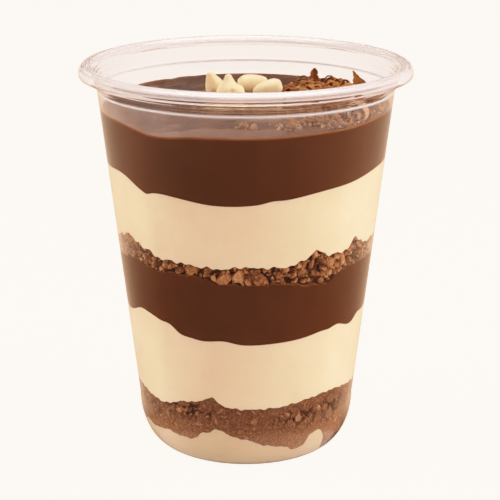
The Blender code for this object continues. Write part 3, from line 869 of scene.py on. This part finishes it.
def make_crumb_core(name, band, grid, lumps, finish, recess, depth, painted_shade_depth):
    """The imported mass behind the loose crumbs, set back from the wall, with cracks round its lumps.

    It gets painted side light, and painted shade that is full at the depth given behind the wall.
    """
    (low, high), (rows, segments) = band, grid
    azimuth = evenly(segments)
    bottom, top = low(azimuth) - MASS_LAP, high(azimuth) + MASS_LAP
    floor, roof = wall_radius(bottom) - recess, wall_radius(top) - recess
    rings = [around(azimuth, floor * share, low(azimuth, share)) for share in (0.3, 0.7, 0.94)]
    for rise in np.linspace(0, 1, rows + 1):
        z = bottom + (top - bottom) * rise
        ring = around(azimuth, wall_radius(z), z)
        coarse = coarseness(azimuth, z)
        bent = ring + 0.3 * MM * waves(ring, 1.2 * MM, 7)[:, None]
        crease = 0.2 * np.abs(waves(ring, 3 * MM, 21))
        for size, shallow, deep in lumps:
            crease = np.maximum(crease, cracks(bent, size * MM) * (shallow + (deep - shallow) * coarse))
        crease = crease * np.clip((z - 7 * MM) / (8 * MM), 0.08, 1)
        rings.append(around(azimuth, wall_radius(z) - recess - depth * crease, z))
    rings += [around(azimuth, roof * share, high(azimuth, share)) for share in (0.94, 0.7, 0.3)]
    mesh = lofted(f"{name}_mass", np.stack(rings))
    sunk = np.clip(behind_wall(np.stack(rings)) / painted_shade_depth, 0, 1).ravel()
    keep_numbers(mesh, "sunk", np.append(sunk, [1, 1]))
    # The mass's shade, with painted side light
    keep_numbers(mesh, "shade", np.append(np.tile(0.35 + painted_side_light(azimuth), len(rings)), [0, 0]))
    add_piece(mesh, [finish], [name])


def make_crumb_layers():
    # The first colour of each crumb finish is its painted shade
    upper = biscuit_crumb("upper_crumb", (50, 25, 12), (102, 58, 32), (170, 111, 71), (208, 152, 104), 0.35)
    lower = biscuit_crumb("lower_crumb", (58, 31, 19), (106, 65, 42), (166, 115, 80), (202, 152, 114), 0.26)
    chance = np.random.default_rng(11)
    band = (CRUMB_FOOT, CREAM_FOOT)
    make_crumb_core("upper_crumb", band, (16, 600), UPPER_LUMPS, upper, recess=0.95 * MM, depth=0.8 * MM,
                    painted_shade_depth=1.5 * MM)
    for kind in UPPER_CRUMBS:
        wall_crumbs(chance, band, kind, upper, painted_shade_depth=1.5 * MM, shades=(0, 1))
    band = (LOW_CRUMB_FOOT, LOW_CREAM_FOOT)
    make_crumb_core("lower_crumb", band, (50, 880), LOWER_LUMPS, lower, recess=-0.02 * MM, depth=1.0 * MM,
                    painted_shade_depth=0.8 * MM)
    for kind in LOWER_CRUMBS:
        wall_crumbs(chance, band, kind, lower, painted_shade_depth=1.0 * MM, shades=(0.1, 0.6))


# Toppings


def smooth_curve(points, steps):
    """Points on a smooth curve through the ones given, with steps between each pair."""
    points = np.asarray(points, float)
    ends = np.vstack([2 * points[0] - points[1], points, 2 * points[-1] - points[-2]])
    curve = []
    for a, b, c, d in zip(ends, ends[1:], ends[2:], ends[3:]):
        for share in np.arange(steps) / steps:
            bend = (c - a) * share + (2 * a - 5 * b + 4 * c - d) * share**2
            bend = bend + (3 * b - a - 3 * c + d) * share**3
            curve.append(b + bend / 2)
    return np.array(curve + [points[-1]])


def drop_profile(radius, height, plumpness):
    """A white chocolate drop: a round foot, a shoulder and a nub, as (radius, height) from the bottom up."""
    heights = (1, 0.96, 0.85, 0.66, 0.42, 0.2, 0.03, 0)
    bell = (0.02, 0.19, 0.27, 0.45, 0.8, 1, 0.88, 0.5)
    egg = (0.02, 0.34, 0.6, 0.86, 1, 0.94, 0.6, 0.3)
    across = [slim + (full - slim) * plumpness for slim, full in zip(bell, egg)]
    curve = smooth_curve([(radius * reach, height * (up - 0.5)) for reach, up in zip(across, heights)], 5)
    curve[:, 0] = np.maximum(curve[:, 0], 0.01 * MM)
    return curve[::-1]


def make_drop(name, sizes, seed, finish):
    radius, height, plumpness, tilt, heading, (x, y) = sizes
    rings = lathed(drop_profile(radius * MM, height * MM, plumpness), 48)
    rings += rings * 0.05 * waves(rings, 4 * MM, seed)[..., None]
    aim = Matrix.Rotation(math.radians(heading), 3, "Z") @ Matrix.Rotation(math.radians(tilt), 3, "Y")
    rings = rings @ np.array(aim).T + (x * MM, y * MM, 0)
    clearance = (rings[..., 2] - pudding_height(rings[..., 0], rings[..., 1])).min()
    rings[..., 2] -= clearance + 0.15 * MM
    add_piece(lofted(f"{name}_piece", rings), [finish], [name])


def heap_outline(azimuth):
    """Reach of the shavings' mound from its centre, kept inside the cup."""
    turn = np.radians(azimuth)
    wobble = 1 + 0.08 * np.sin(3 * turn + 0.6) + 0.06 * np.sin(5 * turn)
    level = turn - math.radians(HEAP_TURN)
    reach = wobble / np.hypot(np.cos(level) / HEAP_REACH[0], np.sin(level) / HEAP_REACH[1])
    inside = HEAP_CENTRE[0] * np.cos(turn) + HEAP_CENTRE[1] * np.sin(turn)
    room = (SURFACE_RADIUS - 1.0 * MM) ** 2 - HEAP_CENTRE[0] ** 2 - HEAP_CENTRE[1] ** 2
    return np.minimum(reach, np.sqrt(inside**2 + room) - inside)


def heap_rise(x, y):
    """Height of the mound over the pudding at places, none outside it."""
    away_x, away_y = x - HEAP_CENTRE[0], y - HEAP_CENTRE[1]
    share = np.hypot(away_x, away_y) / heap_outline(np.degrees(np.arctan2(away_y, away_x)))
    return np.where(share < 1, HEAP_HEIGHT * (1 - np.minimum(1, share) ** 2) + 0.2 * MM, 0)


def heap_places(chance, count):
    """Places in the mound, as even as seeds in a flower but shaken."""
    azimuth = np.arange(count) * 137.5 + chance.uniform(-20, 20, count)
    share = HEAP_SPREAD * np.sqrt((np.arange(count) + chance.uniform(0.2, 0.8, count)) / count)
    reach = heap_outline(azimuth) * share
    turn = np.radians(azimuth)
    return HEAP_CENTRE[0] + reach * np.cos(turn), HEAP_CENTRE[1] + reach * np.sin(turn)


def make_mound(finish):
    azimuth = evenly(240)
    outline = heap_outline(azimuth)
    turn = np.radians(azimuth)
    rings, sunk = [], []
    underside = [(share, False) for share in (0.3, 0.7, 1.0)]
    for share, top in underside + [(share, True) for share in np.linspace(1, 0.05, 36)]:
        x = HEAP_CENTRE[0] + outline * share * np.cos(turn)
        y = HEAP_CENTRE[1] + outline * share * np.sin(turn)
        spot = np.stack([x, y, 0 * x], -1)
        grit = 0.45 * np.abs(waves(spot, 2.2 * MM, 3)) + 0.25 * np.abs(waves(spot, 1.0 * MM, 4))
        rise = -0.4 * MM
        if top:
            rise = HEAP_HEIGHT * (1 - share**2) + (0.1 + grit) * MM * min(1, 4 * (1 - share))
        rings.append(np.stack([x, y, pudding_height(x, y) + rise], -1))
        # Painted shade in the hollows of the mound's grit
        sunk.append(1.1 - 1.4 * grit)
    mesh = lofted("shavings_mound", np.stack(rings))
    keep_numbers(mesh, "sunk", np.clip(np.append(sunk, [1, 1]), 0, 1))
    keep_numbers(mesh, "shade", np.full(len(mesh.vertices), 0.3))
    add_piece(mesh, [finish], ["shavings"])


def plate_faces(grid):
    """Faces of a closed plate, each of whose two sides is a grid of cells."""
    steps, across = grid
    index = np.arange(2 * (steps + 1) * (across + 1)).reshape(2, steps + 1, across + 1)
    faces = []
    for side, (i, j) in ((side, cell) for side in (0, 1) for cell in np.ndindex(steps, across)):
        cells = index[side]
        face = [cells[i, j], cells[i + 1, j], cells[i + 1, j + 1], cells[i, j + 1]]
        faces.append(face if side else face[::-1])
    rim = [(i, 0) for i in range(steps)] + [(steps, j) for j in range(across)]
    rim += [(i, across) for i in range(steps, 0, -1)] + [(0, j) for j in range(across, 0, -1)]
    for (i, j), (k, m) in zip(rim, rim[1:] + rim[:1]):
        faces.append([index[0, i, j], index[0, k, m], index[1, k, m], index[1, i, j]])
    return np.array(faces)


def rolled_plates(chance, count, grid, radius, arc, width, thickness, point):
    """Thin strips rolled round their width: (plate, corner, place). Each size is its least and most.

    Point is how much narrower they are at their ends.
    """
    steps, across = grid
    u = np.linspace(-0.5, 0.5, steps + 1)[None, :, None]
    v = np.linspace(-0.5, 0.5, across + 1)[None, None, :]
    each = [chance.uniform(*size, count)[:, None, None] for size in (radius, arc, width, thickness)]
    roll, turn, wide, thick = each[0], np.radians(each[1]), each[2], each[3]
    spiral = 1 + chance.uniform(-0.35, 0.35, count)[:, None, None] * (u + 0.5)
    ragged = 1 + chance.uniform(-0.28, 0.28, size=(count, steps + 1, 1))
    taper = (1 - point * (2 * np.abs(u)) ** 2.2) * ragged
    thin = thick * (1 - 0.75 * (2 * np.abs(v)) ** 3) * (1 - 0.6 * (2 * np.abs(u)) ** 6)
    slide = chance.uniform(-0.5, 0.5, count)[:, None, None] * wide * u
    sides = []
    for way in (-0.5, 0.5):
        rough = 0.06 * MM * chance.normal(size=(count, steps + 1, across + 1))
        reach = roll * spiral + way * thin + rough
        sides.append(np.stack([reach * np.sin(turn * u) + 0 * v, wide * taper * v + slide + 0 * reach,
                               reach * np.cos(turn * u) + 0 * v], -1))
    return np.stack(sides, 1).reshape(count, -1, 3)


def settled(chance, points, x, y, sink, lean, spread):
    """Plates turned by about spread radians, leant up to lean, and set on the heap or the pudding."""
    count = len(points)
    spin, tip = chance.normal(0, spread, count), chance.uniform(-lean, lean, count)
    turns = np.array([Matrix.Rotation(a, 3, "Z") @ Matrix.Rotation(b, 3, "X") for a, b in zip(spin, tip)])
    points = np.einsum("cvk,cjk->cvj", points, turns)
    return set_down(points, x, y, sink)


def set_down(points, x, y, sink):
    """Pieces moved to their places, their lowest corners sunk in the heap or the pudding by that much."""
    lift = pudding_height(x, y) + heap_rise(x, y) - sink - points[..., 2].min(1)
    return pressed(points + np.stack([x, y, lift], -1)[:, None, :], -0.15 * MM)


def in_shade(points, depth=1.9):
    """How much painted shade corners of the topping get, from 1 on the pudding to 0 at that many mm over it.
    """
    over = points[..., 2] - pudding_height(points[..., 0], points[..., 1])
    return 0.85 * (1 - (over - 0.5 * heap_rise(points[..., 0], points[..., 1])) / (depth * MM))


def standing_flake(chance, half_widths, height, slide, bow, heading):
    """A shard that stands up: half widths from foot to tip, height, the tip's shift and the bow in mm."""
    steps, across = CURL_GRID
    up, side = np.linspace(0, 1, steps + 1)[:, None], np.linspace(-1, 1, across + 1)[None]
    half = np.interp(up, np.linspace(0, 1, len(half_widths)), half_widths)
    half = half * (1 + 0.14 * chance.normal(size=up.shape))
    slimmer = 1 - 0.5 * up
    sides = []
    for way in (0.24, -0.24):
        bulge = bow * (1 - side**2) * slimmer + way * slimmer + 0.06 * chance.normal(size=half.shape)
        sides.append(np.stack([half * side + slide * up, bulge, height * up + 0 * side], -1))
    return turned(np.stack(sides).reshape(1, -1, 3) * MM, heading)


# Shards: half widths, height, shift of the tip, bow, heading in degrees, place in mm
SHARDS = (
    ((1.2, 1.2, 1.5, 1.2, 0.4), 5.8, 0.5, 0.9, 12, (20.4, 22.0)),
    ((5.0, 3.6, 2.1, 0.9, 0.2), 7.0, -4.0, 0.5, 2, (36.4, 17.8)),
    ((1.6, 1.3, 0.9, 0.3), 3.2, 1.0, 0.4, 20, (37.6, 17.6)),
    ((1.2, 1.1, 0.9, 0.3), 3.0, 0.9, 0.5, -35, (29.0, 17.0)),
    ((0.9, 0.9, 0.6, 0.2), 2.6, -0.7, 0.4, 40, (14.5, 16.0)),
    ((1.0, 1.1, 0.8, 0.2), 3.0, 1.3, 0.4, 10, (29.8, -33.0)),
)
# The largest curl: place in mm, heading in degrees, then the radius of each of its turns
GREAT_CURL = ((31.4, -23.4), -20, (2.1, 1.0))
# Clusters: middle in mm, reach along X and Y, height, count
CLUSTERS = (
    (19.8, -24.6, 3.4, 1.9, 1.8, 38), (25.3, -28.6, 1.6, 1.5, 1.9, 18), (35.4, -24.4, 1.4, 1.2, 1.0, 10),
    (36.0, -19.4, 1.6, 1.8, 2.0, 20), (38.2, -12.6, 2.0, 2.6, 2.6, 30), (40.6, -4.0, 1.2, 2.6, 2.8, 24),
    (33.4, -9.6, 2.6, 2.6, 2.4, 34), (27.2, -9.0, 2.4, 2.2, 2.0, 26), (20.8, -6.4, 2.2, 1.8, 1.6, 24),
    (27.6, -16.4, 1.8, 1.6, 1.6, 18), (14.0, -4.6, 2.2, 1.4, 1.0, 20), (12.6, -31.2, 1.6, 1.4, 1.1, 12),
    (0.2, -31.4, 2.0, 0.5, 0.4, 8),
)


def add_plates(name, plates, grid, shades, sunk, finish):
    """Puts many curls or flakes in the scene as one piece."""
    mesh = crumb_mesh(name, plates, plate_faces(grid), shades, sunk, 45)
    add_piece(mesh, [finish])


def make_curls(chance, finish):
    """The small curls of the heap, and the shards that stand in it and near it."""
    pieces = []
    for count, least, most, sink in CURL_SORTS:
        x, y = heap_places(chance, count)
        curls = rolled_plates(chance, count, CURL_GRID, (least * MM, most * MM), (210, 390), CURL_WIDTH,
                              CURL_THICKNESS, 0.25)
        pieces.append(settled(chance, curls, x, y, sink * MM, 0.7, 0.7))
    for *shape, place in SHARDS:
        x, y = np.array(place)[:, None] * MM
        pieces.append(set_down(standing_flake(chance, *shape), x, y, 0.6 * MM))
    curls = np.vstack(pieces)
    add_plates("shaving_curls", curls, CURL_GRID, chance.uniform(0, 1, len(curls)), in_shade(curls), finish)


def make_great_curl(chance, finish):
    """The largest curl, one turn inside the other."""
    place, heading, turns = GREAT_CURL
    x, y = np.array(place)[:, None] * MM
    pieces = []
    for radius in turns:
        curl = rolled_plates(chance, 1, CURL_GRID, (radius * MM, radius * MM), (300, 330),
                             (3.4 * MM, 3.8 * MM), (0.95 * MM, 1.05 * MM), 0.2)
        curl = set_down(turned(curl, heading), x, y, 0.3 * MM)
        pieces.append(curl + (0, 0, (turns[0] - radius) * MM))
    curls = np.vstack(pieces)
    add_plates("great_curl", curls, CURL_GRID, (0.9, 0.6), 0.15 * in_shade(curls), finish)


def make_flakes(chance, finish):
    """Flakes that lie all over the heap, and paler ones in a drift in front of it."""
    x, y = heap_places(chance, HEAP_FLAKES)
    near = chance.normal(size=(NEAR_FLAKES, 2)) * NEAR_SPREAD * MM + NEAR_PLACE
    x, y = np.append(x, near[:, 0]), np.append(y, near[:, 1])
    flakes = rolled_plates(chance, len(x), FLAKE_GRID, (1.4 * MM, 4.0 * MM), (25, 90), FLAKE_WIDTH,
                           FLAKE_THICKNESS, 0.85)
    flakes = settled(chance, flakes, x, y, 0.4 * MM, 1.5, 2.0)
    shades = np.append(chance.uniform(0, 1, HEAP_FLAKES), chance.uniform(0.7, 1, NEAR_FLAKES))
    add_plates("shaving_flakes", flakes, FLAKE_GRID, shades, in_shade(flakes), finish)


def make_clusters(chance, finish):
    """Shavings that cling together in small rough heaps."""
    x, y, rise = [], [], []
    for middle_x, middle_y, reach_x, reach_y, height, count in CLUSTERS:
        turn, away = chance.uniform(0, math.tau, count), np.sqrt(chance.uniform(0, 1, count))
        x.append(middle_x + reach_x * away * np.cos(turn))
        y.append(middle_y + reach_y * away * np.sin(turn))
        rise.append(height * (1 - away**2) * chance.uniform(0.4, 1, count))
    x, y, rise = np.concatenate(x) * MM, np.concatenate(y) * MM, np.concatenate(rise) * MM
    inside = np.hypot(x, y) < SURFACE_RADIUS - 1.4 * MM
    x, y, rise = x[inside], y[inside], rise[inside]
    sizes = chance.uniform(1.1, 3.0, len(x)) * MM
    points, faces = broken_crumbs(chance, sizes, 3, 16)
    points += np.stack([x, y, pudding_height(x, y) + rise + 0.2 * sizes], -1)[:, None, :]
    points = pressed(points, -0.1 * MM)
    shades = chance.uniform(0.2, 1, len(x))
    mesh = crumb_mesh("shaving_clusters", points, faces, shades, 0.7 * in_shade(points))
    add_piece(mesh, [finish])


# Loose crumbs on the pudding: middle in mm, spread along X and Y in mm, turn in degrees, count
CRUMB_DRIFTS = (
    (-6.5, -3.4, 4.2, 1.2, -18, 130),
    (3.5, -7.8, 3.6, 1.5, -27, 140),
    (11.5, -10.6, 3.4, 1.7, -6, 140),
    (19.5, -8.6, 3.4, 2.0, 22, 120),
    (19.5, -24.0, 3.0, 1.8, 20, 120),
    (25.6, -28.6, 1.6, 1.4, 0, 80),
    (34.0, -26.0, 2.2, 1.8, 30, 50),
    (12.6, -30.6, 1.8, 1.6, 0, 50),
    (37.5, -14.0, 1.6, 5.0, -20, 70),
    (-0.2, -31.0, 1.6, 0.8, 0, 8),
    (24.0, 2.0, 12.0, 16.0, 0, 150),
)


def make_loose_crumbs(chance, finish):
    """Fine crumbs in drifts over the open pudding and the heap."""
    places = []
    for x, y, spread_x, spread_y, turn, count in CRUMB_DRIFTS:
        near = chance.normal(size=(count, 2)) * (spread_x, spread_y)
        drift = np.array(Matrix.Rotation(math.radians(turn), 2)) @ near.T
        places.append(drift.T + (x, y))
    x, y = (np.vstack(places) * MM).T
    inside = np.hypot(x, y) < SURFACE_RADIUS - 1.2 * MM
    x, y = x[inside], y[inside]
    sizes = chance.uniform(0.4, 1.2, len(x)) * MM
    points, faces = broken_crumbs(chance, sizes, 2, 6)
    ground = pudding_height(x, y) + heap_rise(x, y)
    points += np.stack([x, y, ground + 0.15 * sizes], -1)[:, None, :]
    points = pressed(points, -0.1 * MM)
    shades = chance.uniform(0.2, 0.9, len(x))
    mesh = crumb_mesh("loose_shaving_crumbs", points, faces, shades, 0.3 * in_shade(points, 0.8))
    add_piece(mesh, [finish])


def make_shavings():
    # The first colour of each shaving finish is its painted shade
    fresh = biscuit_crumb("chocolate_shavings", (34, 15, 6), (90, 45, 18), (150, 86, 41), (204, 134, 80),
                          0.22)
    # Greyer dusty tones for the clusters, kept darker than the loose ones as painted shade
    dusty_shaded = biscuit_crumb("dusty_shaded_shavings", (50, 29, 18), (94, 57, 36), (146, 98, 66), (198, 148, 108), 0.3)
    loose = biscuit_crumb("loose_shavings", (70, 42, 26), (120, 78, 52), (182, 134, 98), (230, 190, 150), 0.3)
    chance = np.random.default_rng(29)
    make_mound(fresh)
    make_curls(chance, fresh)
    make_great_curl(chance, loose)
    make_flakes(chance, fresh)
    make_clusters(chance, dusty_shaded)
    make_loose_crumbs(chance, loose)


def make_haze_and_reflection(finish):
    """A film on the inside of the wall between the pudding and the ledge, partly haze and partly painted
    reflection.
    """
    azimuth = AZIMUTHS[::2]
    low = edge_height(SURFACE_EDGE, azimuth) + 0.3 * MM
    rings = []
    for inset, rises in ((0.02, np.linspace(0, 1, 7)), (0.06, np.linspace(1, 0, 7))):
        for rise in rises:
            z = low + (LEDGE_LOW - low) * rise
            rings.append(around(azimuth, wall_radius(z) - inset * MM, z))
    mesh = closed_loop("haze_and_reflection_on_wall", np.stack(rings))
    keep_numbers(mesh, "mist", np.tile(0.65 - 0.35 * np.cos(np.radians(azimuth)), len(rings)))
    add_piece(mesh, [finish])


# Stage, lamps and camera

STUDIO_PALE = (1.0, 0.886, 0.772, 1.0)
STUDIO_GLOW = 1.84  # brightness of the floor and the studio wall as the camera sees them
WORLD_GLOW = 0.09
FLOOR_TONE = 0.08
FLOOR_GLOW = 0.05  # brightness of the floor as matt things are lit by it
MIRRORED_GLOW = 1.3
ZENITH_GLOW = 14.0
ZENITH_FROM = 0.86  # share of the way from straight down to straight up
ZENITH_RISE = 12.0
# Bands that glossy things mirror, from straight down at 0 to straight up at 1
MIRRORED_BANDS = (
    (0.0, (150, 140, 132)), (0.19, (172, 160, 150)), (0.215, (102, 78, 62)), (0.268, (102, 78, 62)),
    (0.325, (240, 190, 152)), (0.48, (255, 222, 196)), (0.55, (70, 53, 42)), (0.655, (70, 53, 42)),
    (0.69, (228, 206, 190)), (0.74, (228, 206, 190)), (0.8, (255, 250, 244)), (1.0, (255, 250, 244)),
)
# Lamps: name, azimuth and elevation in degrees, distance, width and height in metres, power in watts
SOFTBOXES = (
    ("left_box", 182, 15, 0.95, 1.0, 1.2, 20.0),
    ("right_box", -5, 15, 0.95, 1.0, 1.2, 30.0),
    ("front_box", -108, 52, 0.95, 0.25, 0.25, 0.28),
    ("top_box", 100, 80, 0.9, 0.6, 0.6, 0.8),
)
# Light in the scene, and the tone that it gives on film
TONE_CURVE = (
    (0, 0), (0.32, 0.32), (0.58, 0.51), (0.9, 0.72), (1.2, 0.83), (1.6, 0.935), (2.0, 0.985), (2.4, 1.0),
)


def make_stage():
    bpy.ops.mesh.primitive_circle_add(vertices=96, radius=6.0, fill_type="NGON")
    floor = bpy.context.object
    floor.name = "floor"
    floor.data.materials.append(studio_floor())
    floor.visible_glossy = False


def softbox(name, azimuth, elevation, distance, width, height, power):
    """A flat lamp that faces the cup. Only what it lights shows it."""
    lamp = bpy.data.lights.new(name, "AREA")
    lamp.shape = "RECTANGLE"
    lamp.size = width
    lamp.size_y = height
    lamp.energy = power
    box = bpy.data.objects.new(name, lamp)
    bpy.context.scene.collection.objects.link(box)
    turn, rise = math.radians(azimuth), math.radians(elevation)
    middle = Vector((0, 0, 0.06))
    away = Vector((math.cos(turn) * math.cos(rise), math.sin(turn) * math.cos(rise), math.sin(rise)))
    box.location = middle + away * distance
    box.rotation_euler = away.to_track_quat("Z", "Y").to_euler()
    box.visible_camera = False
    box.visible_transmission = False
    box.visible_glossy = False


def make_world():
    """A pale studio all round, which lights less than it shows. Glossy things mirror bands of it."""
    studio = Surroundings("studio")
    bpy.context.scene.world = studio.world
    path = studio.node("ShaderNodeLightPath")
    direction = studio.node("ShaderNodeTexCoord").outputs["Generated"]
    way = studio.node("ShaderNodeSeparateXYZ", {}, {0: direction})
    upward = 0.5 + 0.5 * Value(studio, way.outputs["Z"])
    seen = studio.background(STUDIO_PALE, STUDIO_GLOW)
    lit = studio.background(STUDIO_PALE, WORLD_GLOW)
    overhead = ((upward - ZENITH_FROM) * ZENITH_RISE).held()
    bands = studio.shades(upward, *MIRRORED_BANDS)
    mirrored = studio.background(bands, MIRRORED_GLOW + ZENITH_GLOW * overhead)
    unmirrored = studio.either(path.outputs["Is Diffuse Ray"], seen, lit)
    was_mirrored = Value(studio, path.outputs["Glossy Depth"]).held()
    all_round = studio.either(was_mirrored, unmirrored, mirrored)
    studio.node("ShaderNodeOutputWorld", {}, {"Surface": all_round})


def make_film():
    """The tone of the picture: true in the shadows, eased towards white in the lights."""
    view = bpy.context.scene.view_settings
    view.view_transform = "Standard"
    view.use_curve_mapping = True
    brightest = TONE_CURVE[-1][0]
    view.curve_mapping.white_level = (brightest, brightest, brightest)
    all_colours = view.curve_mapping.curves[3]
    for light, tone in TONE_CURVE[1:-1]:
        all_colours.points.new(light / brightest, tone)
    view.curve_mapping.update()


def make_light():
    for lamp in SOFTBOXES:
        softbox(*lamp)
    make_world()
    make_film()


CAMERA_AIM = Vector((1.204 * MM, 0, 59.6 * MM))
CAMERA_DISTANCE = 0.560
CAMERA_ELEVATION = math.radians(16.1)
CAMERA_LENS = 133.92  # mm, on a sensor 36 mm wide


def make_camera():
    lens = bpy.data.cameras.new("camera")
    lens.sensor_width = 36
    lens.lens = CAMERA_LENS
    lens.clip_start = 0.01
    camera = bpy.data.objects.new("camera", lens)
    bpy.context.scene.collection.objects.link(camera)
    back, up = math.cos(CAMERA_ELEVATION), math.sin(CAMERA_ELEVATION)
    camera.location = CAMERA_AIM + Vector((0, -back, up)) * CAMERA_DISTANCE
    camera.rotation_euler = (math.radians(90) - CAMERA_ELEVATION, 0, 0)
    bpy.context.scene.camera = camera


def main():
    make_camera()
    make_light()
    make_stage()
    make_cup()
    make_milky_highlight_bands()
    cream = vanilla_cream("vanilla_cream", (218, 191, 152), (228, 203, 167))
    # A darker copy of the cream for the bottom layer
    darker_cream = vanilla_cream("darker_cream", (200, 171, 131), (212, 185, 146))
    side = chocolate_side()
    make_bottom_layer(darker_cream)
    make_layer("lower_cream", LOW_CREAM_FOOT, LOW_CHOCOLATE_FOOT, cream)
    make_layer("lower_chocolate", LOW_CHOCOLATE_FOOT, CRUMB_FOOT, side)
    make_layer("upper_cream", CREAM_FOOT, TOP_FOOT, cream)
    make_top_layer(side, chocolate_surface())
    make_crumb_layers()
    drop_finish = white_chocolate()
    for number, (name, sizes) in enumerate(DROPS.items()):
        make_drop(name, sizes, number, drop_finish)
    make_shavings()
    make_haze_and_reflection(wall_haze_and_reflection())


main()
